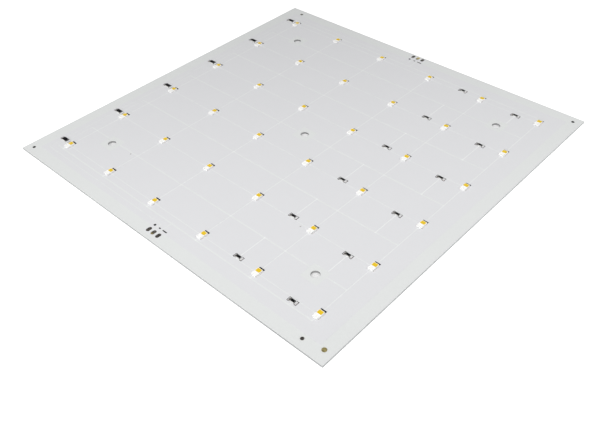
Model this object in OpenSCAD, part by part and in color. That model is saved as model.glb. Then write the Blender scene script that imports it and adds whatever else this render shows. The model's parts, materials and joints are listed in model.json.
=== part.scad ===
// Two-channel LED board: a square metal-core circuit board with a grid of two-window LED packages.
// Each row is a warm string and a cool string of windows in series, with one resistor in each string.
// The origin is the centre of the underside: +X runs along the rows, +Y from row 1 to the last row, +Z up.

/* [Board] */
// Spacing of the LED packages, along the rows and between them
led_pitch = 40; // [36:1:52]
// Thickness of the aluminium base plate
base_t = 1; // [0.6:0.1:3]
// Thickness of the insulating layer on the plate
dielectric_t = 0.08; // [0.05:0.01:0.3]
// Thickness of the white mask over the copper
mask_t = 0.03; // [0.02:0.005:0.1]
// How far the mask dips where no copper lies under it
mask_dip = 0.04; // [0.01:0.005:0.05]
// Width of the mask that covers each copper edge
mask_cover = 0.1; // [0.05:0.01:0.15]

/* [Holes] */
// Diameter of the mounting holes
hole_d = 5; // [3:0.1:6.5]
// Distance of the corner mounting holes from the board's edges
hole_inset = 38; // [35:0.5:41]
// Side of the copper-free square round each mounting hole
hole_keepout = 11; // [9:0.5:13]
// Diameter of the tooling holes
tooling_d = 2; // [1:0.1:3]
// Distance of the tooling holes from the board's edges
tooling_inset = 5; // [3:0.5:6]

/* [Copper] */
// Thickness of the copper foil
copper_t = 0.07; // [0.04:0.005:0.14]
// Width of the supply buses along the edges
bus_w = 3.3; // [2:0.1:3.6]
// Gap between the copper areas of one row
string_gap = 0.6; // [0.4:0.05:0.7]
// Gap between the copper of neighbouring rows
row_gap = 1; // [0.6:0.05:1.4]
// Copper left beyond the polarity bars of the last row
bus_clear = 0.05; // [0.02:0.01:0.8]

/* [LED packages] */
// Length of a package, across its row
led_l = 5.4; // [4.8:0.1:6.2]
// Width of a package, along its row
led_w = 3.2; // [2.6:0.1:3.6]
// Height of a package
led_h = 0.8; // [0.6:0.05:1.9]
// Wall round the two windows and between them
led_wall = 0.2; // [0.15:0.05:0.5]
// How far the reflector walls lean in from rim to floor
cup_lean = 0.25; // [0.05:0.05:0.35]
// Depth of the cut across the corners of each window
cup_corner = 0.25; // [0.1:0.05:0.35]
// Leg of the package corner that is cut off as the polarity mark
polarity_cut = 0.25; // [0.1:0.05:0.4]
// Depth of the window fill below the rim
fill_recess = 0.05; // [0.02:0.01:0.15]
// Thickness of the lead frame
lead_t = 0.2; // [0.1:0.05:0.3]
// Width of each terminal
lead_w = 1.7; // [1.2:0.1:1.9]
// Reach of each terminal beyond the package's side
lead_reach = 0.1; // [0.05:0.05:0.3]
// Gap between the two leads under a window
lead_gap = 0.3; // [0.2:0.05:0.4]
// How far the lead under the chip passes the package's middle
die_pad_reach = 0.15; // [0.1:0.05:0.3]
// Side of the square light-emitting chip
die_w = 0.6; // [0.4:0.05:0.9]
// Height of the light-emitting chip
die_h = 0.15; // [0.1:0.01:0.2]

/* [Chip parts] */
// Length of a resistor
resistor_l = 3.2; // [2.4:0.1:4]
// Width of a resistor
resistor_w = 1.6; // [1:0.1:2]
// Height of a resistor
resistor_h = 0.55; // [0.4:0.05:0.8]
// Length of a resistor's end caps
resistor_cap = 0.5; // [0.3:0.05:0.7]
// Distance from a resistor to the next LED of its string
resistor_setback = 14.5; // [10:0.5:22]
// Length of a jumper
jumper_l = 5; // [4:0.1:6]
// Width of a jumper
jumper_w = 2.5; // [1.6:0.1:2.8]
// Height of a jumper
jumper_h = 0.6; // [0.4:0.05:0.9]
// Length of a jumper's end caps
jumper_cap = 0.6; // [0.4:0.05:0.8]
// Distance from a jumper to the first LED of its row
jumper_setback = 6.8; // [6:0.1:7.4]
// Thickness of the plating on the end caps
plating_t = 0.05; // [0.03:0.01:0.08]
// Thickness of the black coat on a chip part
coat_t = 0.08; // [0.05:0.01:0.12]

/* [Solder] */
// Height of the parts' undersides above the mask
seat_clear = 0.02; // [0.01:0.005:0.05]
// Bare copper left round each solder joint
land_clear = 0.05; // [0.02:0.01:0.08]
// Reach of the solder beyond an LED terminal
led_solder_reach = 0.3; // [0.1:0.05:0.5]
// Height that the solder climbs up an LED terminal
led_solder_climb = 0.15; // [0.05:0.01:0.2]
// Reach of the solder beyond a chip part's end
chip_solder_reach = 0.8; // [0.4:0.05:1]
// Height that the solder climbs up a chip part's end
chip_solder_climb = 0.35; // [0.1:0.05:0.4]

/* [Wire pads] */
// Spacing of the three pads at an edge
pad_pitch = 3.8; // [3.7:0.1:5]
// Sideways shift of the pads from the board's middle
pad_shift = -0.9; // [-2:0.1:2]
// Width of a pad
pad_w = 2.2; // [1.6:0.1:2.6]
// Length of a pad
pad_l = 3.5; // [2.8:0.1:4]
// Copper left under the mask round each pad
pad_rim = 0.4; // [0.2:0.05:0.5]
// Distance of the input pads' centres from the front edge
input_inset = 5; // [4:0.1:6]
// Distance of the output pads' centres from the back edge
output_inset = 3; // [2.6:0.1:6]

/* [Marks] */
// Thickness of the printed ink
ink_t = 0.02; // [0.01:0.005:0.05]
// Width of a printed line
ink_w = 0.3; // [0.15:0.01:0.4]
// Clearance of the printed lines from what they mark
ink_clear = 0.25; // [0.15:0.01:0.35]
// Length of the arms of the printed brackets
bracket_arm = 1.3; // [0.6:0.1:1.6]
// Width of the polarity bar at each LED
bar_w = 1; // [0.4:0.05:1.3]
// Diameter of the alignment discs
disc_d = 2; // [1:0.1:2.4]
// Bare ring round each alignment disc
disc_clear = 0.6; // [0.3:0.05:0.8]
// Mask between the bare rings of the marks and the copper
mark_gap = 1; // [0.5:0.1:1.5]
// Distance of the front alignment disc from the right edge
front_disc_setback = 16.5; // [12:0.5:20]
// Distance of the back alignment disc from the left edge
back_disc_setback = 12; // [10:0.5:20]
// Outer diameter of the test ring
ring_d = 2.6; // [2:0.1:3]
// Diameter of the hollow in the test ring
ring_bore = 1; // [0.6:0.1:1.4]
// Thickness left under the hollow in the test ring
ring_floor = 0.03; // [0.01:0.005:0.035]
// Distance of the test ring from the front edge
ring_inset = 7; // [5:0.1:9]

/* [Hidden] */
$fn = 48;
rows = 6;
columns = 6;
// Cutters run past the faces that they open by this much
over = 0.1;

// Board outline and the levels of its layers
half_x = columns*led_pitch/2;
half_y = rows*led_pitch/2;
z_copper = base_t + dielectric_t;
z_land = z_copper + copper_t;
z_mask = z_land + mask_t;
z_seat = z_mask + seat_clear;
film_t = z_seat - z_land;

// LED windows, from the package's centre
window_w = led_w - 2*led_wall;
window_l = (led_l - 3*led_wall)/2;
window_y = (window_l + led_wall)/2;
cup_h = led_h - lead_t;
lead_end = led_w/2 + lead_reach;
lead_in = die_pad_reach + lead_gap;
warm_side = 1;
cool_side = -1;

// Places of the chip parts
function site_x(column) = (column - (columns + 1)/2)*led_pitch;
function site_y(row) = (row - (rows + 1)/2)*led_pitch;
warm_resistor_x = site_x(columns - 1) - resistor_setback;
cool_resistor_x = site_x(columns) - resistor_setback;
resistor_y = string_gap/2 + ink_clear + ink_w + resistor_w/2;
jumper_x = site_x(1) - jumper_setback;
jumper_y = string_gap/2 + mask_cover + jumper_w/2;

// Edges of the copper along X: the cool bus passes under the jumpers, between their end caps
jumper_span = jumper_l/2 - jumper_cap;
warm_bus_edge = jumper_x - jumper_span;
cool_bus_low = warm_bus_edge + string_gap;
cool_bus_high = jumper_x + jumper_span - string_gap;
string_start = jumper_x + jumper_span;
copper_x = bus_w - warm_bus_edge;

// Edges of the copper along Y: the cool bus runs inside the warm bus, beyond the reach of the outer rows
row_reach = led_l/2 + ink_clear + bar_w + bus_clear + row_gap/2;
bus_inner_y = site_y(rows) + row_reach + row_gap/2;
cool_bus_y = bus_inner_y + bus_w;
warm_bus_y = cool_bus_y + string_gap;
copper_y = warm_bus_y + bus_w;

// Fingers from the buses to the wire pads, and places of the marks in the border
finger_w = pad_w + 2*pad_rim;
warm_pad_x = pad_shift - pad_pitch;
cool_pad_x = pad_shift;
positive_pad_x = pad_shift + pad_pitch;
input_y = -half_y + input_inset;
output_y = half_y - output_inset;
finger_front = input_y - pad_l/2 - pad_rim;
finger_back = output_y + pad_l/2 + pad_rim;
disc_y = copper_y + mark_gap + disc_clear + disc_d/2;
ring_x = copper_x + mark_gap + disc_clear + ring_d/2;

function row_low(row) = row == 1 ? site_y(1) - row_reach : site_y(row) - led_pitch/2;
function row_high(row) = row == rows ? site_y(rows) + row_reach : site_y(row) + led_pitch/2;
warm_breaks = concat([string_start - string_gap/2], [for (c = [1:columns - 2]) site_x(c)],
                     [warm_resistor_x, site_x(columns - 1), site_x(columns)]);
cool_breaks = concat([for (c = [1:columns - 1]) site_x(c)], [cool_resistor_x, site_x(columns)]);

ROW_PIECES = ["string_copper", "led_terminals", "led_housings", "warm_windows", "cool_windows", "led_solder"];

// Places

module at_row(row) {
    for (c = [1:columns]) translate([site_x(c), site_y(row)]) children();
}

module at_sites() {
    for (r = [1:rows]) at_row(r) children();
}

module at_resistors() {
    for (r = [1:rows]) {
        translate([warm_resistor_x, site_y(r) + resistor_y]) children();
        translate([cool_resistor_x, site_y(r) - resistor_y]) children();
    }
}

module at_jumpers() {
    for (r = [1:rows]) translate([jumper_x, site_y(r) + jumper_y]) children();
}

module at_window(side) {
    translate([0, side*window_y]) children();
}

module at_both_windows() {
    for (side = [warm_side, cool_side]) at_window(side) children();
}

module at_both_ends() {
    for (turn = [0, 180]) rotate(turn) children();
}

module at_mounting_holes() {
    children();
    for (x = [-1, 1], y = [-1, 1]) translate([x*(half_x - hole_inset), y*(half_y - hole_inset)]) children();
}

module at_tooling_holes() {
    for (s = [-1, 1]) translate([s*(half_x - tooling_inset), s*(half_y - tooling_inset)]) children();
}

module at_discs() {
    translate([half_x - front_disc_setback, -disc_y]) children();
    translate([back_disc_setback - half_x, disc_y]) children();
}

module at_ring() {
    translate([ring_x, -half_y + ring_inset]) children();
}

module at_pads(y) {
    for (x = [warm_pad_x, cool_pad_x, positive_pad_x]) translate([x, y]) children();
}

// Flat shapes

// A rectangle between two corners, grown on every side
module span(x0, y0, x1, y1, grow) {
    translate([x0 - grow, y0 - grow]) square([x1 - x0 + 2*grow, y1 - y0 + 2*grow]);
}

// The board's outline with its drilled holes
module board_outline() {
    difference() {
        square([2*half_x, 2*half_y], center = true);
        at_mounting_holes() circle(d = hole_d);
        at_tooling_holes() circle(d = tooling_d);
    }
}

// The common bus: up the right side and along both edges to the right-hand pads
module positive_area(grow = 0) {
    span(site_x(columns) + string_gap/2, -copper_y, copper_x, copper_y, grow);
    low_x = positive_pad_x - finger_w/2;
    high_x = positive_pad_x + finger_w/2;
    span(low_x, -copper_y, copper_x, -bus_inner_y, grow);
    span(low_x, bus_inner_y, copper_x, copper_y, grow);
    span(low_x, finger_front, high_x, -bus_inner_y, grow);
    span(low_x, bus_inner_y, high_x, finger_back, grow);
}

// The warm bus: up the left side and along both edges to the left-hand pads
module warm_bus_area(grow = 0) {
    low_x = warm_pad_x - finger_w/2;
    high_x = warm_pad_x + finger_w/2;
    span(-copper_x, -copper_y, warm_bus_edge, copper_y, grow);
    span(-copper_x, -copper_y, high_x, -warm_bus_y, grow);
    span(-copper_x, warm_bus_y, high_x, copper_y, grow);
    span(low_x, finger_front, high_x, -warm_bus_y, grow);
    span(low_x, warm_bus_y, high_x, finger_back, grow);
}

// The cool bus: inside the warm bus, with a tongue to the first LED of each row, out to the middle pads
module cool_bus_area(grow = 0) {
    low_x = cool_pad_x - finger_w/2;
    high_x = cool_pad_x + finger_w/2;
    span(cool_bus_low, -cool_bus_y, cool_bus_high, cool_bus_y, grow);
    span(cool_bus_low, -cool_bus_y, high_x, -bus_inner_y, grow);
    span(cool_bus_low, bus_inner_y, high_x, cool_bus_y, grow);
    span(low_x, finger_front, high_x, -bus_inner_y, grow);
    span(low_x, bus_inner_y, high_x, finger_back, grow);
    for (r = [1:rows])
        span(cool_bus_low, row_low(r) + row_gap/2, site_x(1) - string_gap/2, site_y(r) - string_gap/2, grow);
}

// The copper between the LEDs of one row, split at every LED and at both resistors
module string_area(row, grow = 0) {
    difference() {
        union() {
            for (i = [0:len(warm_breaks) - 2])
                span(warm_breaks[i] + string_gap/2, site_y(row) + string_gap/2,
                     warm_breaks[i + 1] - string_gap/2, row_high(row) - row_gap/2, grow);
            for (i = [0:len(cool_breaks) - 2])
                span(cool_breaks[i] + string_gap/2, row_low(row) + row_gap/2,
                     cool_breaks[i + 1] - string_gap/2, site_y(row) - string_gap/2, grow);
        }
        at_mounting_holes() square(hole_keepout - 2*grow, center = true);
    }
}

module all_copper(grow = 0) {
    positive_area(grow);
    warm_bus_area(grow);
    cool_bus_area(grow);
    for (r = [1:rows]) string_area(r, grow);
}

// A wire pad: a slot shape with round ends
module pad_oval() {
    for (s = [-1, 1]) translate([0, s*(pad_l - pad_w)/2]) circle(d = pad_w);
    square([pad_w, pad_l - pad_w], center = true);
}

// The lands of one part, from the inner to the outer end of its solder, with the bare copper round it
module lands(inner, outer, width) {
    at_both_ends()
        translate([inner - land_clear, -width/2 - land_clear])
            square([outer - inner + 2*land_clear, width + 2*land_clear]);
}

module mask_openings() {
    at_sites() at_both_windows() lands(lead_in, lead_end + led_solder_reach, lead_w);
    at_resistors() lands(resistor_l/2 - resistor_cap, resistor_l/2 + chip_solder_reach, resistor_w);
    at_jumpers() lands(jumper_l/2 - jumper_cap, jumper_l/2 + chip_solder_reach, jumper_w);
    for (y = [input_y, output_y]) at_pads(y) pad_oval();
    at_discs() circle(d = disc_d + 2*disc_clear);
    at_ring() circle(d = ring_d + 2*disc_clear);
}

// The printed line across each end of a chip part
module end_line(length, width) {
    at_both_ends()
        translate([length/2 + chip_solder_reach + ink_clear, -width/2]) square([ink_w, width]);
}

// The printed bracket round each end of a chip part
module bracket(length, width) {
    outer_w = width + 2*(ink_clear + ink_w);
    outer_x = length/2 + chip_solder_reach + ink_clear + ink_w;
    end_line(length, outer_w);
    at_both_ends() for (y = [-outer_w/2, outer_w/2 - ink_w])
        translate([outer_x - bracket_arm, y]) square([bracket_arm, ink_w]);
}

// Solder seen from the side: a film under the part and a hollow fillet up its end
module solder_profile(inner, end, reach, climb) {
    fillet_r = (reach*reach + climb*climb)/(2*climb);
    translate([inner, 0]) square([end + reach - inner, film_t]);
    translate([end, film_t]) difference() {
        square([reach, climb]);
        translate([reach, fillet_r]) circle(fillet_r, $fn = 96);
    }
}

// Solids that repeat

// Extrudes a side view, drawn in X and Z, across Y
module across(width) {
    rotate([90, 0, 0]) linear_extrude(width, center = true) children();
}

module solder_pair(inner, end, reach, climb, width) {
    at_both_ends() across(width) solder_profile(inner, end, reach, climb);
}

// A slot whose two walls lean in from the rim to the floor, open past the rim
module leaning_slot(width, lean) {
    low = width/2 - lean;
    top = cup_h + over;
    high = low + lean*top/cup_h;
    across(2*led_l) polygon([[-low, 0], [low, 0], [high, top], [-high, top]]);
}

// A reflector cup: four leaning walls with cut corners, above the lead frame
module cup() {
    corner_w = (window_w + window_l)/sqrt(2) - 2*cup_corner;
    translate([0, 0, lead_t]) intersection() {
        leaning_slot(window_w, cup_lean);
        rotate(90) leaning_slot(window_l, cup_lean);
        rotate(45) leaning_slot(corner_w, cup_lean*sqrt(2));
        rotate(-45) leaning_slot(corner_w, cup_lean*sqrt(2));
    }
}

module die() {
    translate([die_pad_reach - die_w, -die_w/2, lead_t]) cube([die_w, die_w, die_h]);
}

// The two leads under one window: the longer one carries the chip
module lead_pair() {
    translate([-lead_end, -lead_w/2, 0]) cube([lead_end + die_pad_reach, lead_w, lead_t]);
    translate([lead_in, -lead_w/2, 0]) cube([lead_end - lead_in, lead_w, lead_t]);
}

module led_housing() {
    x = led_w/2;
    y = led_l/2;
    difference() {
        linear_extrude(led_h)
            polygon([[-x, -y], [x, -y], [x, y - polarity_cut], [x - polarity_cut, y], [-x, y]]);
        at_both_windows() cup();
        at_both_windows() lead_pair();
    }
}

module window_fill() {
    difference() {
        intersection() {
            cup();
            translate([-led_w/2, -led_l/2, 0]) cube([led_w, led_l, led_h - fill_recess]);
        }
        die();
    }
}

module chip_body(length, width, height) {
    translate([plating_t - length/2, -width/2, plating_t])
        cube([length - 2*plating_t, width, height - 2*plating_t]);
}

module chip_coat(length, width, height, cap) {
    translate([cap - length/2, -width/2, height - plating_t]) cube([length - 2*cap, width, coat_t]);
}

// End caps that wrap over the top, the end and the underside of a chip part
module chip_caps(length, width, height, cap) {
    at_both_ends() across(width) difference() {
        translate([length/2 - cap, 0]) square([cap, height]);
        translate([length/2 - cap - over, plating_t])
            square([cap + over - plating_t, height - 2*plating_t]);
    }
}

// Sub-parts

module base_plate() {
    color("silver") linear_extrude(base_t) board_outline();
}

module dielectric_layer() {
    color("gainsboro") translate([0, 0, base_t]) linear_extrude(dielectric_t) board_outline();
}

module positive_bus() {
    color("peru") translate([0, 0, z_copper]) linear_extrude(copper_t) positive_area();
}

module warm_bus() {
    color("peru") translate([0, 0, z_copper]) linear_extrude(copper_t) warm_bus_area();
}

module cool_bus() {
    color("peru") translate([0, 0, z_copper]) linear_extrude(copper_t) cool_bus_area();
}

module string_copper(row) {
    color("peru") translate([0, 0, z_copper]) linear_extrude(copper_t) string_area(row);
}

// The mask lies over the copper and dips to the insulating layer between the copper areas
module solder_mask() {
    color("white") translate([0, 0, z_copper]) difference() {
        union() {
            linear_extrude(copper_t + mask_t - mask_dip) board_outline();
            linear_extrude(copper_t + mask_t) all_copper(mask_cover);
        }
        translate([0, 0, -over]) linear_extrude(copper_t + over) all_copper();
        translate([0, 0, -over]) linear_extrude(copper_t + mask_t + 2*over) mask_openings();
    }
}

module legend_ink() {
    color("black") translate([0, 0, z_mask]) linear_extrude(ink_t) {
        at_sites() translate([-lead_end, led_l/2 + ink_clear]) square([2*lead_end, bar_w]);
        at_resistors() bracket(resistor_l, resistor_w);
        at_jumpers() end_line(jumper_l, jumper_w);
    }
}

module input_pads() {
    color("darkgoldenrod") translate([0, 0, z_land]) linear_extrude(mask_t) at_pads(input_y) pad_oval();
}

module output_pads() {
    color("darkgoldenrod") translate([0, 0, z_land]) linear_extrude(mask_t) at_pads(output_y) pad_oval();
}

module alignment_discs() {
    color("dimgray") translate([0, 0, z_copper]) linear_extrude(copper_t) at_discs() circle(d = disc_d);
}

module test_ring() {
    color("goldenrod") translate([0, 0, z_copper]) at_ring() difference() {
        linear_extrude(copper_t) circle(d = ring_d);
        translate([0, 0, ring_floor]) linear_extrude(copper_t) circle(d = ring_bore);
    }
}

module led_terminals(row) {
    color("lightgray") translate([0, 0, z_seat]) at_row(row) at_both_windows() lead_pair();
}

module led_housings(row) {
    color("whitesmoke") translate([0, 0, z_seat]) at_row(row) led_housing();
}

module warm_windows(row) {
    color("gold") translate([0, 0, z_seat]) at_row(row) at_window(warm_side) window_fill();
}

module cool_windows(row) {
    color("ivory") translate([0, 0, z_seat]) at_row(row) at_window(cool_side) window_fill();
}

module led_solder(row) {
    color("gray") translate([0, 0, z_land]) at_row(row) at_both_windows()
        solder_pair(lead_in, lead_end, led_solder_reach, led_solder_climb, lead_w);
}

module warm_chips() {
    color("lightblue") translate([0, 0, z_seat]) at_sites() at_window(warm_side) die();
}

module cool_chips() {
    color("lightblue") translate([0, 0, z_seat]) at_sites() at_window(cool_side) die();
}

module resistor_bodies() {
    color("white") translate([0, 0, z_seat]) at_resistors() chip_body(resistor_l, resistor_w, resistor_h);
}

module resistor_coats() {
    color("black") translate([0, 0, z_seat]) at_resistors()
        chip_coat(resistor_l, resistor_w, resistor_h, resistor_cap);
}

module resistor_caps() {
    color("silver") translate([0, 0, z_seat]) at_resistors()
        chip_caps(resistor_l, resistor_w, resistor_h, resistor_cap);
}

module resistor_solder() {
    end = resistor_l/2;
    color("gray") translate([0, 0, z_land]) at_resistors()
        solder_pair(end - resistor_cap, end, chip_solder_reach, chip_solder_climb, resistor_w);
}

module jumper_bodies() {
    color("white") translate([0, 0, z_seat]) at_jumpers() chip_body(jumper_l, jumper_w, jumper_h);
}

module jumper_coats() {
    color("black") translate([0, 0, z_seat]) at_jumpers()
        chip_coat(jumper_l, jumper_w, jumper_h, jumper_cap);
}

module jumper_caps() {
    color("silver") translate([0, 0, z_seat]) at_jumpers()
        chip_caps(jumper_l, jumper_w, jumper_h, jumper_cap);
}

module jumper_solder() {
    end = jumper_l/2;
    color("gray") translate([0, 0, z_land]) at_jumpers()
        solder_pair(end - jumper_cap, end, chip_solder_reach, chip_solder_climb, jumper_w);
}

base_plate();
dielectric_layer();
positive_bus();
warm_bus();
cool_bus();
solder_mask();
legend_ink();
input_pads();
output_pads();
alignment_discs();
test_ring();
warm_chips();
cool_chips();
resistor_bodies();
resistor_coats();
resistor_caps();
resistor_solder();
jumper_bodies();
jumper_coats();
jumper_caps();
jumper_solder();
for (row = [1:rows]) {
    string_copper(row);
    led_terminals(row);
    led_housings(row);
    warm_windows(row);
    cool_windows(row);
    led_solder(row);
}
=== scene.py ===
# %% [markdown]
# # A two-channel LED board
#
# This lesson dresses a flat, square light board. The solids come from the frame: an aluminium plate, an
# insulating layer, copper, a white mask and the parts soldered on it. They already have the right places,
# so most of them only need a finish. A few small pieces look better with rounded edges than the plain
# solids do, and those are worked out here as surfaces and put in the solids' places.

# %% Load the frame
import json

import bmesh
import bpy
import numpy as np
from mathutils import Matrix, Vector


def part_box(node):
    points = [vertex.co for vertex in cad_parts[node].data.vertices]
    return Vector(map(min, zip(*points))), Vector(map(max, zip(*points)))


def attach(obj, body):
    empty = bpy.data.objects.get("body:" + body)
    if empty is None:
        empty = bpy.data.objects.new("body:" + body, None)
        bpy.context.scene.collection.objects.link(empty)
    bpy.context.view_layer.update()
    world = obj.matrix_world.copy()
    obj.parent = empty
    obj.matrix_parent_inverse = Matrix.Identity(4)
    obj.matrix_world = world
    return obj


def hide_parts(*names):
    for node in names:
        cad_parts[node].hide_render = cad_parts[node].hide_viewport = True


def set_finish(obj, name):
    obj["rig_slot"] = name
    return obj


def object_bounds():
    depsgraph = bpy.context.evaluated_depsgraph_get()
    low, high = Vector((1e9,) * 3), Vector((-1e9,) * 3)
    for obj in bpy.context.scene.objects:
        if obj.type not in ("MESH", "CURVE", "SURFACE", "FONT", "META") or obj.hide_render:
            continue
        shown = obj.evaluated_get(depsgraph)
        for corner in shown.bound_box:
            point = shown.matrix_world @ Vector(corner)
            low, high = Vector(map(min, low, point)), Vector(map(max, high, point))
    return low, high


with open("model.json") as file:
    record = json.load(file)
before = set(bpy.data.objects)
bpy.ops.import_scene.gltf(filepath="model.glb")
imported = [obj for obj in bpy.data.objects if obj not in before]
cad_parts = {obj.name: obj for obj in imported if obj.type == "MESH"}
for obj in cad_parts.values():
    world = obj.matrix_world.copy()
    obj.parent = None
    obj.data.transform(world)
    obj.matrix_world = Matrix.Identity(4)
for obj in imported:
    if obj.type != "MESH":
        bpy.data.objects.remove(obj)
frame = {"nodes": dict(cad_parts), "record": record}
cad_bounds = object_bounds()
scene = bpy.context.scene
print("nodes in the frame:", len(frame["nodes"]))

# %% [markdown]
# ## Places from the frame
#
# Nothing is placed by eye. The row of packages nearest the front gives the pitch, the package's size and
# the level that it stands on, and the windows give their own size and offset. The places of all the
# packages follow from those few numbers, so a board with another pitch would still be dressed correctly.

# %% Read the driving sizes
MM = 0.001


def node_box(name):
    """A node's lowest and highest corners as one array of two points, in metres."""
    return np.array([list(corner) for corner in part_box(name)])


rows = sum(name.startswith("led_housings_row_") for name in frame["nodes"])
housing = node_box("led_housings_row_1")
pitch = node_box("led_housings_row_2")[0, 1] - housing[0, 1]
columns = int(round((housing[1, 0] - housing[0, 0])/pitch)) + 1
row_span = np.array([(columns - 1)*pitch, 0, 0])
led_size = housing[1] - housing[0] - row_span
site_x = housing[:, 0].mean() + (np.arange(columns) - (columns - 1)/2)*pitch
site_y = housing[:, 1].mean() + np.arange(rows)*pitch
print(f"{columns} x {rows} packages at {pitch/MM:.1f} mm, each {np.round(led_size/MM, 2)} mm")


def row_places(row):
    """The middles of one row's packages at height zero, one point for each column."""
    return np.stack([site_x, np.full(columns, site_y[row]), np.zeros(columns)], -1)


# %% [markdown]
# ## From loops of points to a mesh
#
# Moulded plastic, window fill, end caps and print are all stacks of rounded rectangles. One function works
# out any number of those outlines at once, a second skins a stack of them into a closed shell, and a third
# repeats the shell at many places. Everything is done on whole arrays, so thirty-six packages need no more
# code than one.

# %% Outlines of rounded rectangles
CORNER_STEPS = 5


def rounded_loops(left, right, low, high, radii):
    """Outlines of rounded rectangles, one for each entry of the sizes.

    Each corner is a quarter circle about a centre that lies one radius in from both of its sides. The corners
    run anticlockwise from (right, high), and the last axis of radii holds one radius for each.
    """
    sides = np.broadcast_arrays(left, right, low, high)
    left, right, low, high = (np.atleast_1d(side)[:, None] for side in sides)
    radii = np.broadcast_to(radii, (len(right), 4))
    centre_x = np.where([True, False, False, True], right - radii, left + radii)
    centre_y = np.where([True, True, False, False], high - radii, low + radii)
    turn = np.radians([0, 90, 180, 270])[:, None] + np.linspace(0, np.pi/2, CORNER_STEPS)
    arc_x = centre_x[..., None] + radii[..., None]*np.cos(turn)
    arc_y = centre_y[..., None] + radii[..., None]*np.sin(turn)
    return np.stack([arc_x, arc_y], -1).reshape(len(right), 4*CORNER_STEPS, 2)


print("points in one outline:", rounded_loops(-1, 1, -1, 1, np.full(4, 0.1)).shape[1])


# %% Shells from stacks of loops
def closed_shell(loops, heights):
    """Skins a stack of loops: quads join each ring to the next, and a fan from its middle closes each end."""
    rings, count = loops.shape[:2]
    levels = np.broadcast_to(np.asarray(heights)[:, None, None], (rings, count, 1))
    points = np.concatenate([loops, levels], -1)
    middles = points[[0, -1]].mean(1)
    index = np.arange(rings*count).reshape(rings, count)
    beside = np.roll(index, -1, 1)
    quads = np.stack([index[:-1], beside[:-1], beside[1:], index[1:]], -1).reshape(-1, 4)
    bottom = np.stack([beside[0], index[0], np.full(count, rings*count)], -1)
    top = np.stack([index[-1], beside[-1], np.full(count, rings*count + 1)], -1)
    return np.concatenate([points.reshape(-1, 3), middles]), quads, np.concatenate([bottom, top])


def copies(shell, places):
    """Repeats a shell: each place is added to every point, and each copy's faces count on from the last."""
    points, quads, triangles = shell
    shift = np.arange(len(places))[:, None, None]*len(points)
    moved = (points + places[:, None, :]).reshape(-1, 3)
    return moved, (quads + shift).reshape(-1, 4), (triangles + shift).reshape(-1, 3)


def joined(shells):
    """Puts several shells into one, with the later faces counted on from the earlier points."""
    starts = np.cumsum([0] + [len(shell[0]) for shell in shells[:-1]])
    points = np.concatenate([shell[0] for shell in shells])
    quads = np.concatenate([shell[1] + start for shell, start in zip(shells, starts)])
    triangles = np.concatenate([shell[2] + start for shell, start in zip(shells, starts)])
    return points, quads, triangles


def mirrored(shell, axis):
    """The shell's image in the plane where that axis is zero, with its faces turned to point outwards."""
    points, quads, triangles = shell
    flip = np.where(np.arange(3) == axis, -1, 1)
    return points*flip, quads[:, ::-1], triangles[:, ::-1]


print("the shell tools are ready")

# %% Put a shell into the scene
CREASE = np.radians(38)
WELD = 1e-7


def new_piece(name, shell, slot, nodes=(), reach=None):
    """A mesh object that rides on the board and stands for the named nodes.

    Points that coincide are welded and faces are smooth below the crease angle. Reach, if given, becomes a
    point attribute of that name, which a finish can read.
    """
    points, quads, triangles = shell
    mesh = bpy.data.meshes.new(name)
    mesh.from_pydata(points.tolist(), [], quads.tolist() + triangles.tolist())
    if reach is not None:
        mesh.attributes.new("reach", "FLOAT", "POINT").data.foreach_set("value", reach.astype(np.float32))
    welded = bmesh.new()
    welded.from_mesh(mesh)
    bmesh.ops.remove_doubles(welded, verts=welded.verts, dist=WELD)
    welded.to_mesh(mesh)
    welded.free()
    mesh.shade_smooth()
    mesh.set_sharp_from_angle(angle=CREASE)
    piece = bpy.data.objects.new(name, mesh)
    scene.collection.objects.link(piece)
    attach(piece, "root")
    if nodes:
        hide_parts(*nodes)
    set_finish(piece, slot)
    return piece


new_pieces = []
print("edges sharper than", round(np.degrees(CREASE)), "degrees stay sharp")

# %% [markdown]
# ## Moulded LED housings
#
# A housing is white moulded plastic with two reflector cups. Its edges are slightly round, because plastic
# never fills a sharp corner of the mould, and that is what catches the light. Half a housing is one stack
# of loops: up the outside, over the rounded edge, across the rim, over the lip and down into the cup. The
# other half is its mirror image. The inner wall where the halves meet is left out, so the welded pair is
# one closed shell. One corner is rounder than the rest, which marks the polarity.

# %% Sizes of the housing
EDGE_ROUND = 0.07*MM
SIDE_CORNER = 0.14*MM
POLARITY_CORNER = 0.34*MM
CUP_WALL = 0.2*MM
CUP_CORNER = 0.32*MM
CUP_LEAN = 0.25*MM
CORNER_EASE = 0.5
ARC_STEPS = 4

warm_box = node_box("warm_windows_row_1")
window_offset = warm_box[:, 1].mean() - housing[:, 1].mean()
base_z, rim_z = housing[:, 2]
floor_z, fill_z = warm_box[:, 2]
lip_round = rim_z - fill_z
cup_half_x = led_size[0]/2 - CUP_WALL
cup_half_y = led_size[1]/2 - CUP_WALL - window_offset
print(f"cups {2*cup_half_x/MM:.2f} x {2*cup_half_y/MM:.2f} mm, {window_offset/MM:.2f} mm from the middle")


# %% Half a housing as a stack of loops
def cup_loops(grow):
    """Outlines of the cup about the origin, each side moved out by grow and the corners eased with it."""
    half_x, half_y = cup_half_x + grow, cup_half_y + grow
    radii = CUP_CORNER + CORNER_EASE*grow[:, None] + np.zeros(4)
    return rounded_loops(-half_x, half_x, -half_y, half_y, radii)


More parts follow.
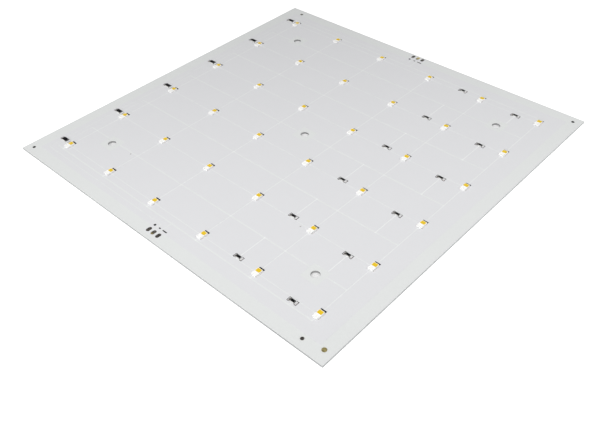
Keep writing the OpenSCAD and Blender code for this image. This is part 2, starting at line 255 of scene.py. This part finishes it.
def housing_half(corner):
    """The half on the +Y side: outer loops drawn in by an arc, then cup loops that lean in to the floor."""
    arc = np.linspace(0, np.pi/2, ARC_STEPS)
    inset = np.concatenate([[0], EDGE_ROUND*(1 - np.cos(arc))])
    outer_z = np.concatenate([[base_z], rim_z - EDGE_ROUND*(1 - np.sin(arc))])
    half_x = led_size[0]/2 - inset
    radii = np.stack([corner - inset, SIDE_CORNER - inset, 0*inset, 0*inset], -1)
    outer = rounded_loops(-half_x, half_x, 0*inset, led_size[1]/2 - inset, radii)
    grow = np.concatenate([lip_round*(1 - np.sin(arc)), [-CUP_LEAN]])
    cup_z = np.concatenate([rim_z - lip_round*(1 - np.cos(arc)), [floor_z]])
    cup = cup_loops(grow) + np.array([0, window_offset])
    points, quads, triangles = closed_shell(np.concatenate([outer, cup]), np.concatenate([outer_z, cup_z]))
    inner_wall = (np.abs(points[quads][..., 1]) < WELD).all(1)
    return points, quads[~inner_wall], triangles


one_housing = joined([housing_half(POLARITY_CORNER), mirrored(housing_half(SIDE_CORNER), 1)])
for row in range(rows):
    node = f"led_housings_row_{row + 1}"
    shell = copies(one_housing, row_places(row))
    new_pieces.append(new_piece(f"moulded_{node}", shell, "led_body", [node]))
print("faces in one housing:", len(one_housing[1]) + len(one_housing[2]))

# %% [markdown]
# ## Window fill
#
# Each cup is filled with clear resin that carries phosphor powder. The resin wets the wall, so its face is
# slightly hollow, and the powder lies thinner over the leaning wall, where the colour pales. The fill is a
# stack of scaled copies of the cup's outline, and each point keeps how far out it lies, for the finish to
# read.

# %% Fill of both cups
FILL_SAG = 0.04*MM
FILL_RINGS = np.array([1, 0.9, 0.78, 0.58, 0.3])


def window_fill(offset):
    """The floor's loop, then loops that shrink to the middle and sag by 1 minus reach squared."""
    floor_loop, edge_loop = cup_loops(np.array([-CUP_LEAN, 0]))
    face_loops = edge_loop*FILL_RINGS[:, None, None]
    face_z = fill_z - FILL_SAG*(1 - FILL_RINGS**2)
    loops = np.concatenate([floor_loop[None], face_loops]) + np.array([0, offset])
    return closed_shell(loops, np.concatenate([[floor_z], face_z]))


ring_reach = np.concatenate([[1], FILL_RINGS])
fill_reach = np.concatenate([np.repeat(ring_reach, 4*CORNER_STEPS), [1, 0]])
for tone, side in (("warm", 1), ("cool", -1)):
    fill = window_fill(side*window_offset)
    for row in range(rows):
        node = f"{tone}_windows_row_{row + 1}"
        shell = copies(fill, row_places(row))
        reach = np.tile(fill_reach, columns)
        new_pieces.append(new_piece(f"fill_{node}", shell, f"{tone}_phosphor", [node], reach))
print("window fills:", 2*rows*columns)

# %% [markdown]
# ## Chip parts
#
# A resistor or jumper is a small ceramic slab with a dark glaze on top and metal caps on its ends. The
# glaze is printed wet, so it dries as a low dome, and the caps are dipped, so all their edges are round.
# Where each chip lies is read from the solids: a node made of boxes has only a few different coordinates
# along each axis.

# %% Where the chips lie
LANES = {"resistor": 2, "jumper": 1}
LEVEL_DIGITS = 6


def spans(node, axis, count):
    """Sorts a node's coordinates along an axis into count groups, and gives each group's ends."""
    mesh = frame["nodes"][node].data
    flat = np.empty(3*len(mesh.vertices), np.float32)
    mesh.vertices.foreach_get("co", flat)
    levels = np.unique(np.round(flat[axis::3].astype(float), LEVEL_DIGITS))
    return levels.reshape(count, -1)[:, [0, -1]]


chip_middles = {}
for kind, lanes in LANES.items():
    lane_x = spans(f"{kind}_caps", 0, lanes).mean(1)[::-1]
    chip_y = spans(f"{kind}_bodies", 1, lanes*rows).mean(1)
    chip_x = np.tile(lane_x, rows)
    chip_middles[kind] = np.stack([chip_x, chip_y, 0*chip_y], -1)
    print(kind, "chips:", len(chip_y), "first at", np.round(chip_middles[kind][0]/MM, 2), "mm")

# %% Domed glaze
GLAZE_RISE = 0.05*MM
GLAZE_CORNER = 0.12*MM
GLAZE_RINGS = np.array([1, 0.96, 0.85, 0.6, 0.3])


def glaze(kind):
    """A wall, then scaled loops that rise by 1 minus reach to the fourth power: a flat-topped dome."""
    half_x = np.ptp(spans(f"{kind}_coats", 0, LANES[kind])[0])/2
    half_y = np.ptp(spans(f"{kind}_coats", 1, LANES[kind]*rows)[0])/2
    low_z, high_z = node_box(f"{kind}_coats")[:, 2]
    wall = rounded_loops(-half_x, half_x, -half_y, half_y, np.full(4, GLAZE_CORNER))
    face_z = high_z - GLAZE_RISE*GLAZE_RINGS**4
    loops = np.concatenate([wall, wall*GLAZE_RINGS[:, None, None]])
    return closed_shell(loops, np.concatenate([[low_z], face_z]))


for kind, middles in chip_middles.items():
    shell = copies(glaze(kind), middles)
    new_pieces.append(new_piece(f"{kind}_glaze", shell, "chip_coat", [f"{kind}_coats"]))
print("domed glazes:", sum(len(middles) for middles in chip_middles.values()))

# %% Dipped end caps
CAP_ROUND = 0.1*MM
CAP_SKIN = 0.015*MM


def end_caps(kind):
    """Rounded rectangles in Y and Z, carried along X and drawn in by an arc at the end, then mirrored."""
    outer_x = np.ptp(spans(f"{kind}_caps", 0, LANES[kind])[0])/2
    inner_x = np.ptp(spans(f"{kind}_coats", 0, LANES[kind])[0])/2
    half_y = np.ptp(spans(f"{kind}_bodies", 1, LANES[kind]*rows)[0])/2 + CAP_SKIN
    low_z, high_z = node_box(f"{kind}_caps")[:, 2]
    arc = np.linspace(0, np.pi/2, ARC_STEPS)
    inset = np.concatenate([[0], CAP_ROUND*(1 - np.cos(arc))])
    along_x = np.concatenate([[inner_x], outer_x - CAP_ROUND*(1 - np.sin(arc))])
    radii = CAP_ROUND - CORNER_EASE*inset[:, None] + np.zeros(4)
    loops = rounded_loops(inset - half_y, half_y - inset, low_z + inset, high_z - inset, radii)
    points, quads, triangles = closed_shell(loops, along_x)
    cap = np.roll(points, 1, -1), quads, triangles
    return joined([cap, mirrored(cap, 0)])


for kind, middles in chip_middles.items():
    shell = copies(end_caps(kind), middles)
    new_pieces.append(new_piece(f"{kind}_end_caps", shell, "cap_metal", [f"{kind}_caps"]))
print("dipped caps:", 2*sum(len(middles) for middles in chip_middles.values()))

# %% [markdown]
# ## Printed marks at the wire pads
#
# Beside each set of wire pads the board has a dot, a tick and a dash in black print, so that the wires go
# to the right pads. They are printed with the rest of the legend, but they are only thin strokes with
# round ends, so they are made here as very flat shells on the mask: one outline, and the same outline
# drawn in a little at the top.

# %% Dot, tick and dash
PRINT_HEIGHT = 0.02*MM
PRINT_EASE = 0.02*MM
MARK_SETBACK = 2.4*MM
MARK_SPREAD = 4.0*MM
MARK_SIZES = np.array([[1.5, 1.5], [1.4, 0.8], [3.4, 0.7]])*MM
mask_top = node_box("solder_mask")[1, 2]


def stroke(size):
    """A flat stroke with round ends: a rounded rectangle at the mask, and one a little smaller at the top."""
    half_x, half_y = (size/2)[:, None] - np.array([0, PRINT_EASE])
    radii = np.minimum(half_x, half_y)[:, None] + np.zeros(4)
    loops = rounded_loops(-half_x, half_x, -half_y, half_y, radii)
    return closed_shell(loops, mask_top + np.array([0, PRINT_HEIGHT]))


marks = []
for pads, inward in (("input_pads", 1), ("output_pads", -1)):
    pad_low, pad_high = node_box(pads)
    mark_x = (pad_low[0] + pad_high[0])/2 + MARK_SPREAD*np.array([-1, 0, 1])
    mark_y = (pad_high[1] if inward > 0 else pad_low[1]) + inward*MARK_SETBACK
    places = np.stack([mark_x, np.full(len(mark_x), mark_y), 0*mark_x], -1)
    marks += [copies(stroke(size), place[None]) for size, place in zip(MARK_SIZES, places)]
new_pieces.append(new_piece("pad_marks", joined(marks), "legend_ink"))
print("printed marks:", len(marks))

# %% [markdown]
# ## Tools for the finishes
#
# Each finish is a small tree of nodes around one Principled shader. The patterns read Object coordinates,
# which are metres on every piece because all the pieces sit at the origin, so one noise scale suits them
# all. Six short helpers keep the trees readable, and three more work with places and distances.

# %% Node helpers
NOISE_LOW, NOISE_HIGH = 0.3, 0.7


def add(tree, kind, inputs=None, **settings):
    """Adds a node, sets its properties, and links or sets its inputs by name or number."""
    node = tree.nodes.new(f"ShaderNode{kind}")
    for key, value in settings.items():
        setattr(node, key, value)
    for key, value in (inputs or {}).items():
        if isinstance(value, bpy.types.NodeSocket):
            tree.links.new(value, node.inputs[key])
        else:
            node.inputs[key].default_value = value
    return node


def work_out(tree, operation, *values):
    """The result of a Math node's operation on two or three values."""
    return add(tree, "Math", dict(enumerate(values)), operation=operation).outputs[0]


def grain(tree, where, scale, detail=3.0, stretch=(1, 1, 1)):
    """Noise of that many cells a metre, with each axis stretched by a factor."""
    stretched = add(tree, "Mapping", {"Vector": where, "Scale": stretch}).outputs[0]
    return add(tree, "TexNoise", {"Vector": stretched, "Scale": scale, "Detail": detail}).outputs[0]


def between(tree, value, low, high, to_low, to_high):
    """Maps a value that runs from low to high onto to_low to to_high, and holds it there beyond the ends."""
    inputs = {0: value, 1: low, 2: high, 3: to_low, 4: to_high}
    return add(tree, "MapRange", inputs).outputs[0]


def spread(tree, noise, to_low, to_high):
    """Maps the range that noise mostly keeps to onto to_low to to_high."""
    return between(tree, noise, NOISE_LOW, NOISE_HIGH, to_low, to_high)


def blend(tree, factor, first, second):
    """The first colour where the factor is 0 and the second where it is 1, by a Mix node's colour sockets."""
    inputs = {0: factor, 6: first, 7: second}
    return add(tree, "Mix", inputs, data_type="RGBA").outputs[2]


print("noise is read from", NOISE_LOW, "to", NOISE_HIGH)


# %% Place helpers
def folded(tree, where):
    """The sideways place with both signs dropped, so that the board's four quarters fall on one another."""
    flat = add(tree, "VectorMath", {0: where, 1: (1, 1, 0)}, operation="MULTIPLY").outputs[0]
    return add(tree, "VectorMath", {0: flat}, operation="ABSOLUTE").outputs[0]


def distance(tree, where, centre):
    """The straight distance from a place."""
    return add(tree, "VectorMath", {0: where, 1: centre}, operation="DISTANCE").outputs["Value"]


def square_distance(tree, where, centre=(0, 0, 0)):
    """The larger of the two sideways distances from a place, which is constant along a square's sides."""
    away = add(tree, "VectorMath", {0: folded(tree, where), 1: centre}, operation="SUBTRACT").outputs[0]
    sides = add(tree, "SeparateXYZ", {0: folded(tree, away)}).outputs
    return work_out(tree, "MAXIMUM", sides[0], sides[1])


print("the place tools are ready")


# %% A new finish
def new_finish(name, **sockets):
    """A material with one Principled shader, its sockets set by name, and the Object coordinates to read."""
    material = bpy.data.materials.new(name)
    material.use_nodes = True
    tree = material.node_tree
    shader = tree.nodes["Principled BSDF"]
    for key, value in sockets.items():
        shader.inputs[key.replace("_", " ")].default_value = value
    where = add(tree, "TexCoord").outputs["Object"]
    return material, tree, shader, where


def dress(tree, shader, colour, roughness, height=None, depth=0.0):
    """Links a colour, a roughness and, where a height is given, a bump of that depth to the shader."""
    tree.links.new(colour, shader.inputs["Base Color"])
    tree.links.new(roughness, shader.inputs["Roughness"])
    if height is not None:
        bump = add(tree, "Bump", {"Height": height, "Distance": depth})
        tree.links.new(bump.outputs[0], shader.inputs["Normal"])


finishes = {}
print("the finish tools are ready")

# %% [markdown]
# ## White mask
#
# The mask is a thin coat of white paint. Over copper it looks a little bluer than over the bare insulator,
# round the border and the holes. In the gaps between the copper areas the paint pools, so they show as
# paler lines. More of it pools in the gaps through the rows and columns of packages, and most in the short
# ones beside the resistors. The paint lies lower wherever there is no copper, so height tells the two kinds
# of ground apart, and the distance from the middle and from the holes tells the open ground from the gaps.
# On top of that come broad, faint clouds from uneven curing, a fine grain, and two small spots of dirt from
# handling.

# %% Paint by what lies under it
OVER_COPPER = (0.735, 0.737, 0.752, 1)
OVER_INSULATOR = (0.742, 0.757, 0.749, 1)
IN_LONG_GAPS = (0.768, 0.784, 0.776, 1)
IN_ROW_GAPS = (0.79, 0.806, 0.797, 1)
IN_COLUMN_GAPS = (0.82, 0.836, 0.827, 1)
IN_RESISTOR_GAPS = (0.86, 0.875, 0.866, 1)
GAP_BAND = 0.5*MM
KEEP_OUT = 5.4*MM
copper_reach = -node_box("warm_bus")[0, 0]
copper_top = node_box("warm_bus")[1, 2]
mask_middle = (copper_top + mask_top)/2
bolts = next(mount for mount in frame["record"]["mounts"] if mount["kind"] == "bolt_pattern")["dims"]
hole_place = (bolts["spacing_x_mm"]*MM/2, bolts["spacing_y_mm"]*MM/2, 0)
hole_radius = bolts["hole_r_mm"]*MM


def gap_paint(tree, x, y):
    """The long gaps' colour, replaced within a band on either side of each package line and resistor lane."""
    colour = IN_LONG_GAPS
    for place, paint in ((y, IN_ROW_GAPS), (x, IN_COLUMN_GAPS)):
        from_cell_edge = work_out(tree, "PINGPONG", place, pitch/2)
        in_band = work_out(tree, "COMPARE", from_cell_edge, pitch/2, GAP_BAND)
        colour = blend(tree, in_band, colour, paint)
    in_rows = work_out(tree, "COMPARE", y, site_y.mean(), np.ptp(site_y)/2)
    for lane in np.unique(chip_middles["resistor"][:, 0]):
        in_band = work_out(tree, "COMPARE", x, lane, GAP_BAND)
        colour = blend(tree, work_out(tree, "MULTIPLY", in_band, in_rows), colour, IN_RESISTOR_GAPS)
    return colour


def ground_paint(tree, where):
    """High faces lie over copper. Low ones are gaps inside the copper's reach and clear of the holes."""
    x, y, height = add(tree, "SeparateXYZ", {0: where}).outputs
    from_middle = square_distance(tree, where)
    from_hole = work_out(tree, "MINIMUM", from_middle, square_distance(tree, where, hole_place))
    clear_of_holes = work_out(tree, "GREATER_THAN", from_hole, KEEP_OUT)
    inside_border = work_out(tree, "LESS_THAN", from_middle, copper_reach)
    in_gap = work_out(tree, "MULTIPLY", clear_of_holes, inside_border)
    low_ground = blend(tree, in_gap, OVER_INSULATOR, gap_paint(tree, x, y))
    return blend(tree, between(tree, height, copper_top, mask_middle, 0, 1), low_ground, OVER_COPPER)


print(f"copper reaches {copper_reach/MM:.1f} mm from the middle, and its top is {copper_top/MM:.3f} mm up")

# %% Mask finish
CLOUD_SCALE = 28
CLOUD_SHARE = 0.05
CLOUD_GREY = (0.62, 0.63, 0.65, 1)
FINE_SCALE = 3200
FINE_DEPTH = 0.004*MM
SHEEN_SCALE = 240
SHEEN_ROUGHNESS = (0.36, 0.44)
DIRT = (0.3, 0.28, 0.25, 1)
DIRT_SPOTS = ((-0.0647, -0.0812), (0.0536, -0.0617))
DIRT_RADIUS = 0.55*MM
DIRT_CORE = 0.3*DIRT_RADIUS
DIRT_COVER = 0.8
SMEAR_SCALE = 1500
SMEAR_NOISE = (0.35, 0.7)
SMEAR_FACTOR = (0.6, 1.3)


def mask_finish():
    """The paint greyed by clouds, with dirt where the smeared distance from a spot is small."""
    material, tree, shader, where = new_finish("white_mask", IOR=1.48)
    clouds = spread(tree, grain(tree, where, CLOUD_SCALE), 0, CLOUD_SHARE)
    colour = blend(tree, clouds, ground_paint(tree, where), CLOUD_GREY)
    smear = between(tree, grain(tree, where, SMEAR_SCALE), *SMEAR_NOISE, *SMEAR_FACTOR)
    for spot in DIRT_SPOTS:
        away = work_out(tree, "MULTIPLY", distance(tree, where, (*spot, mask_top)), smear)
        colour = blend(tree, between(tree, away, DIRT_CORE, DIRT_RADIUS, DIRT_COVER, 0), colour, DIRT)
    roughness = spread(tree, grain(tree, where, SHEEN_SCALE), *SHEEN_ROUGHNESS)
    dress(tree, shader, colour, roughness, grain(tree, where, FINE_SCALE), FINE_DEPTH)
    return material


finishes["white_mask"] = mask_finish()
print("made", finishes["white_mask"].name)

# %% [markdown]
# ## Plate, insulator and copper
#
# Only the cut edges of these layers show. The plate is rolled aluminium, so its finish has lines along the
# rolling direction, and its edge is dull from the router. The mounting bores carry grey painted shade, and
# the narrow tooling bores carry painted shade that is nearly black. The insulator is a pale resin with
# fine filler, and the copper is hidden under the mask, but has its own colour for anyone who takes the
# board apart.

# %% Painted shade in the plate's bores
# Painted shade: the bores' walls are darkened in colour, grey in the mounting bores and nearly black in the
# tooling bores.
BORE_SHADE = (0.4, 0.4, 0.403, 1)
TOOLING_SHADE = (0.05, 0.05, 0.051, 1)
TOOLING_INSET = 5*MM
TOOLING_RADIUS = 1*MM
BORE_MARGIN = 0.1*MM
UNDERSIDE = 0.01*MM
tooling_place = (cad_bounds[1][0] - TOOLING_INSET, cad_bounds[1][1] - TOOLING_INSET, 0)
bores = (
    ((0, 0, 0), hole_radius, BORE_SHADE),
    (hole_place, hole_radius, BORE_SHADE),
    (tooling_place, TOOLING_RADIUS, TOOLING_SHADE),
)


def bore_shaded(tree, where, colour):
    """A colour turned to painted shade near each bore's axis in the folded quarter, above the plate's
    underside.
    """
    height = add(tree, "SeparateXYZ", {0: where}).outputs[2]
    above = work_out(tree, "GREATER_THAN", height, UNDERSIDE)
    quarter = folded(tree, where)
    for centre, radius, grey in bores:
        near = work_out(tree, "LESS_THAN", distance(tree, quarter, centre), radius + BORE_MARGIN)
        colour = blend(tree, work_out(tree, "MULTIPLY", near, above), colour, grey)
    return colour


print("bores in one quarter:", len(bores))

# %% Metal and resin finishes
METAL_ROUGH_RANGE = 0.12
LINE_DETAIL = 4.0
LINE_DEPTH = 0.004*MM
SPECK_DETAIL = 4.0
SPECK_EDGE = (0.42, 0.68)
SPECK_ROUGH_RANGE = 0.1


def rolled_finish(name, light, dark, scale, stretch, rough):
    """Metal with lines from rolling, a noise much finer across the lines than along them, and painted shade
    in the bores.
    """
    material, tree, shader, where = new_finish(name, Metallic=1.0)
    lines = grain(tree, where, scale, LINE_DETAIL, stretch)
    colour = bore_shaded(tree, where, blend(tree, spread(tree, lines, 0, 1), light, dark))
    roughness = spread(tree, lines, rough, rough + METAL_ROUGH_RANGE)
    dress(tree, shader, colour, roughness, lines, LINE_DEPTH)
    return material


def speckled_finish(name, light, dark, scale, rough, depth, **sockets):
    """A plain solid colour broken by fine specks of a second one, with the specks slightly raised."""
    material, tree, shader, where = new_finish(name, **sockets)
    specks = grain(tree, where, scale, SPECK_DETAIL)
    colour = blend(tree, between(tree, specks, *SPECK_EDGE, 0, 1), light, dark)
    roughness = spread(tree, specks, rough, rough + SPECK_ROUGH_RANGE)
    dress(tree, shader, colour, roughness, specks, depth)
    return material


finishes["base_metal"] = rolled_finish(
    "base_metal", light=(0.38, 0.385, 0.39, 1), dark=(0.29, 0.295, 0.3, 1),
    scale=900, stretch=(0.03, 1, 1), rough=0.36)
finishes["copper_foil"] = rolled_finish(
    "copper_foil", light=(0.82, 0.46, 0.32, 1), dark=(0.68, 0.35, 0.23, 1),
    scale=1200, stretch=(0.05, 1, 1), rough=0.3)
finishes["insulator"] = speckled_finish(
    "insulator", light=(0.75, 0.76, 0.745, 1), dark=(0.68, 0.69, 0.675, 1),
    scale=6000, rough=0.5, depth=0.003*MM)
print("made", sorted(finishes))

# %% [markdown]
# ## LED finishes
#
# The housing is a matt white plastic filled with a white pigment, with a trace of grain. The fill is resin
# with phosphor powder: strong amber in the warm cup and a very pale cream in the cool one. Each fades
# towards its rim, where there is less powder, and the stored reach of each point says where that is. The
# powder breaks the resin's face, so it mirrors little.

# %% Housing, fill and chips
POWDER_SCALE = 9000
POWDER_DETAIL = 2.0
POWDER_REACH = 0.06
FILL_ROUGHNESS = (0.3, 0.42)


def fill_finish(name, deep, pale, fade_from):
    """Resin whose colour runs from deep in the middle to pale at the rim, by each point's reach."""
    material, tree, shader, where = new_finish(name, Specular_IOR_Level=0.15)
    reach = add(tree, "Attribute", attribute_name="reach").outputs["Fac"]
    powder = grain(tree, where, POWDER_SCALE, POWDER_DETAIL)
    edge = work_out(tree, "ADD", reach, spread(tree, powder, -POWDER_REACH, POWDER_REACH))
    colour = blend(tree, between(tree, edge, fade_from, 1, 0, 1), deep, pale)
    dress(tree, shader, colour, spread(tree, powder, *FILL_ROUGHNESS))
    return material


finishes["warm_phosphor"] = fill_finish(
    "warm_phosphor", deep=(0.8, 0.545, 0.025, 1), pale=(0.9, 0.78, 0.42, 1), fade_from=0.93)
finishes["cool_phosphor"] = fill_finish(
    "cool_phosphor", deep=(0.96, 0.96, 0.93, 1), pale=(0.96, 0.96, 0.95, 1), fade_from=0.6)
finishes["led_body"] = speckled_finish(
    "led_body", light=(0.97, 0.97, 0.96, 1), dark=(0.95, 0.95, 0.94, 1),
    scale=7000, rough=0.4, depth=0.002*MM)
finishes["led_chip"] = speckled_finish(
    "led_chip", light=(0.16, 0.2, 0.32, 1), dark=(0.1, 0.13, 0.24, 1),
    scale=12000, rough=0.15, depth=0.001*MM)
print("made", sorted(finishes))

# %% [markdown]
# ## Solder, leads and plated marks
#
# Tin and solder are bright but never quite even, so their finish is a metal with soft clouds in colour,
# roughness and height. The solder carries painted shade on the joints' left faces: it darkens with how far
# a face leans that way. The end caps, the wire pads and the round marks use the same finish with far
# darker tones; on the caps and the pads these tones are a painted reflection of a dark surround. Painted
# gold glints sit only at the outer ends of the middle pads.

# %% Painted shade and painted gold glints
# Painted shade that darkens the solder's faces as they lean to the left.
LEFT_SHADE = (0.08, 0.066, 0.05, 1)
LEFT_SHADE_LEAN = (-0.02, -0.2)
# Colour of the painted gold glints on the pads.
GOLD_GLINT = (0.6, 0.5, 0.2, 1)
PADS_IN_SET = 3


def painted_left_shade(tree, where, colour):
    """Painted shade over the faces that lean to the left, by the sideways part of their normal."""
    facing = add(tree, "SeparateXYZ", {0: add(tree, "TexCoord").outputs["Normal"]}).outputs[0]
    return blend(tree, between(tree, facing, *LEFT_SHADE_LEAN, 0, 1), colour, LEFT_SHADE)


def painted_gold_glints(tree, where, colour):
    """Painted gold glints on the middle pad of each set, rising with the distance from the board's middle."""
    inputs, outputs = node_box("input_pads"), node_box("output_pads")
    x = add(tree, "SeparateXYZ", {0: where}).outputs[0]
    half_share = np.ptp(inputs[:, 0])/PADS_IN_SET/2
    on_middle_pad = work_out(tree, "COMPARE", x, inputs[:, 0].mean(), half_share)
    rise_from, rise_to = -inputs[:, 1].mean(), outputs[1, 1]
    outward = between(tree, square_distance(tree, where), rise_from, rise_to, 0, 1)
    return blend(tree, work_out(tree, "MULTIPLY", on_middle_pad, outward), colour, GOLD_GLINT)


print("pads in a set:", PADS_IN_SET)

# %% Tinned and tarnished finishes
PATCH_EDGE = 0.08
PATCH_DEPTH = 0.004*MM
SOLDER_DEPTH = 0.01*MM


def cast_finish(name, light, dark, scale, split, rough, depth=PATCH_DEPTH, painted_light=None):
    """Metal with patches of the light tone where the noise is above split, under a layer of painted light if
    one is given.
    """
    material, tree, shader, where = new_finish(name, Metallic=1.0)
    patches = grain(tree, where, scale)
    in_patch = between(tree, patches, split - PATCH_EDGE, split + PATCH_EDGE, 0, 1)
    colour = blend(tree, in_patch, dark, light)
    if painted_light:
        colour = painted_light(tree, where, colour)
    roughness = spread(tree, patches, rough + METAL_ROUGH_RANGE, rough)
    dress(tree, shader, colour, roughness, patches, depth)
    return material


finishes["lead_metal"] = cast_finish(
    "lead_metal", light=(0.86, 0.86, 0.84, 1), dark=(0.7, 0.7, 0.69, 1), scale=2500, split=0.45, rough=0.22)
# The solder gets painted shade on its left-leaning faces.
finishes["solder_metal"] = cast_finish(
    "solder_metal", light=(0.78, 0.785, 0.79, 1), dark=(0.6, 0.605, 0.61, 1),
    scale=1800, split=0.48, rough=0.24, depth=SOLDER_DEPTH, painted_light=painted_left_shade)
# The caps' near-black tones are a painted reflection of a dark surround, not the colour of bright tin.
finishes["cap_metal"] = cast_finish(
    "cap_metal", light=(0.16, 0.157, 0.15, 1), dark=(0.085, 0.083, 0.08, 1),
    scale=2200, split=0.45, rough=0.26)
# The pads' dark tones are a painted reflection of a dark surround, and their gold patches are painted glints.
finishes["pad_metal"] = cast_finish(
    "pad_metal", light=(0.13, 0.118, 0.105, 1), dark=(0.055, 0.05, 0.045, 1),
    scale=700, split=0.55, rough=0.3, painted_light=painted_gold_glints)
finishes["mark_metal"] = cast_finish(
    "mark_metal", light=(0.13, 0.12, 0.11, 1), dark=(0.055, 0.05, 0.048, 1),
    scale=1500, split=0.52, rough=0.3)
finishes["gold_ring"] = cast_finish(
    "gold_ring", light=(0.36, 0.3, 0.13, 1), dark=(0.2, 0.17, 0.08, 1), scale=1400, split=0.5, rough=0.26)
print("made", sorted(finishes))

# %% [markdown]
# ## Print and chip parts
#
# Black print and black glaze would look grey under a white sky if they were as shiny as plain plastic, so
# their specular level is low. The print is porous and dull, and the glaze is smooth. The ceramic is white
# alumina with a faint grain.

# %% Ink, glaze and ceramic
finishes["legend_ink"] = speckled_finish(
    "legend_ink", light=(0.014, 0.014, 0.014, 1), dark=(0.024, 0.024, 0.025, 1),
    scale=5000, rough=0.55, depth=0.003*MM, Specular_IOR_Level=0.05)
finishes["chip_coat"] = speckled_finish(
    "chip_coat", light=(0.006, 0.006, 0.007, 1), dark=(0.014, 0.014, 0.015, 1),
    scale=4000, rough=0.28, depth=0.002*MM, Specular_IOR_Level=0.02)
finishes["chip_ceramic"] = speckled_finish(
    "chip_ceramic", light=(0.82, 0.81, 0.78, 1), dark=(0.74, 0.73, 0.7, 1),
    scale=6000, rough=0.5, depth=0.003*MM)
print("made", sorted(finishes))

# %% [markdown]
# ## Put the finishes on
#
# Each solid in the frame's record names a material slot, and each new piece carries the name of its own.
# One loop over both is enough, and a slot with no finish would stop it with an error.

# %% Finish every piece
slot_of = {entry["node"]: entry["material_slot"] for entry in frame["record"]["subparts"]}
for name, node in frame["nodes"].items():
    node.data.materials.clear()
    node.data.materials.append(finishes[slot_of[name]])
for piece in new_pieces:
    piece.data.materials.append(finishes[piece["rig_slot"]])
print("pieces finished:", len(slot_of) + len(new_pieces))

# %% [markdown]
# ## Floor, sky and lamps
#
# The board lies on a plain white floor under an even white sky. A long strip lamp over the near corner
# adds the slow fall in brightness towards the far one, and a soft box low in front lights the packages'
# front walls. Mirror-like surfaces and the camera see a white surround, but the light that reaches the
# board stays at a plain level, so that each colour comes out about as it is written.

# %% Sky that looks white but lights gently
WHITE = (1, 1, 1, 1)
SKY_LEVEL = 0.33
scene.view_settings.view_transform = "Standard"


def seen_directly(tree):
    """One where a ray comes from the camera, a mirror or glass, and zero where it carries soft light."""
    path = add(tree, "LightPath")
    seen = path.outputs["Is Camera Ray"]
    for ray in ("Is Glossy Ray", "Is Transmission Ray"):
        seen = work_out(tree, "MAXIMUM", seen, path.outputs[ray])
    return seen


world = bpy.data.worlds.new("white_sky")
world.use_nodes = True
scene.world = world
sky = world.node_tree.nodes["Background"]
sky.inputs["Color"].default_value = WHITE
level = between(world.node_tree, seen_directly(world.node_tree), 0, 1, SKY_LEVEL, 1)
world.node_tree.links.new(level, sky.inputs["Strength"])
print("sky lights at", SKY_LEVEL)

# %% Floor
FLOOR_HALF = 3.0
FLOOR_DROP = 0.2*MM
FLOOR_WHITE = (0.85, 0.85, 0.85, 1)
FLOOR_GLOW = 0.66
GLOW_UNDER = 0.04

floor_mesh = bpy.data.meshes.new("floor")
square = FLOOR_HALF*np.array([[-1, -1], [1, -1], [1, 1], [-1, 1]])
corners = np.pad(square, ((0, 0), (0, 1)), constant_values=-FLOOR_DROP)
floor_mesh.from_pydata(corners.tolist(), [], [(0, 1, 2, 3)])
floor = bpy.data.objects.new("floor", floor_mesh)
scene.collection.objects.link(floor)
floor_paint, tree, shader, where = new_finish(
    "floor_paint", Base_Color=FLOOR_WHITE, Emission_Color=WHITE, Roughness=0.9, Specular_IOR_Level=0.0)
beyond_board = work_out(tree, "GREATER_THAN", square_distance(tree, where), cad_bounds[1][0])
strength = between(tree, beyond_board, 0, 1, GLOW_UNDER, FLOOR_GLOW)
glow = work_out(tree, "MULTIPLY", seen_directly(tree), strength)
tree.links.new(glow, shader.inputs["Emission Strength"])
floor_mesh.materials.append(floor_paint)
print("floor is", 2*FLOOR_HALF, "m wide")

# %% Strip lamp and soft box
LAMPS = {
    "strip_lamp": {"place": (0.12, -0.07, 0.35), "along": (1, 1, 0), "size": (1.4, 0.25), "power": 1.9},
    "soft_box": {"place": (0.05, -0.95, 0.42), "along": (1, 0, 0), "size": (0.7, 0.5), "power": 4.0},
}


def aimed(place, along):
    """The matrix of a thing at a place that faces the board's middle, its X axis turned towards along."""
    back = Vector(place).normalized()
    side = (Vector(along) - Vector(along).project(back)).normalized()
    return Matrix.Translation(place) @ Matrix((side, back.cross(side), back)).transposed().to_4x4()


for name, setup in LAMPS.items():
    lamp_data = bpy.data.lights.new(name, "AREA")
    lamp_data.shape = "RECTANGLE"
    lamp_data.size, lamp_data.size_y = setup["size"]
    lamp_data.energy = setup["power"]
    lamp = bpy.data.objects.new(name, lamp_data)
    lamp.matrix_world = aimed(setup["place"], setup["along"])
    lamp.visible_glossy = False
    scene.collection.objects.link(lamp)
    print(name, "stands at", setup["place"])

# %% [markdown]
# ## Camera
#
# The camera looks down on one corner of the board from about 42 degrees, with a slight roll. Its three
# axes were worked out from where the corners of the board and the rows of packages should appear in a
# picture of 600 by 440.

# %% Camera at the viewing angle
LENS = 42.615
CLIP_START = 10*MM
CAMERA_PLACE = (0.241647, -0.25551, 0.251143)
CAMERA_RIGHT = (0.73447, 0.678057, -0.028179)
CAMERA_UP = (-0.441114, 0.508545, 0.73946)
CAMERA_BACK = (0.515726, -0.530681, 0.672611)

camera_data = bpy.data.cameras.new("camera")
camera_data.lens = LENS
camera_data.sensor_fit = "HORIZONTAL"
camera_data.clip_start = CLIP_START
camera = bpy.data.objects.new("camera", camera_data)
turned = Matrix((CAMERA_RIGHT, CAMERA_UP, CAMERA_BACK)).transposed().to_4x4()
camera.matrix_world = Matrix.Translation(CAMERA_PLACE) @ turned
scene.collection.objects.link(camera)
scene.camera = camera
print("camera is", round(camera.location.length, 3), "m from the board's middle")
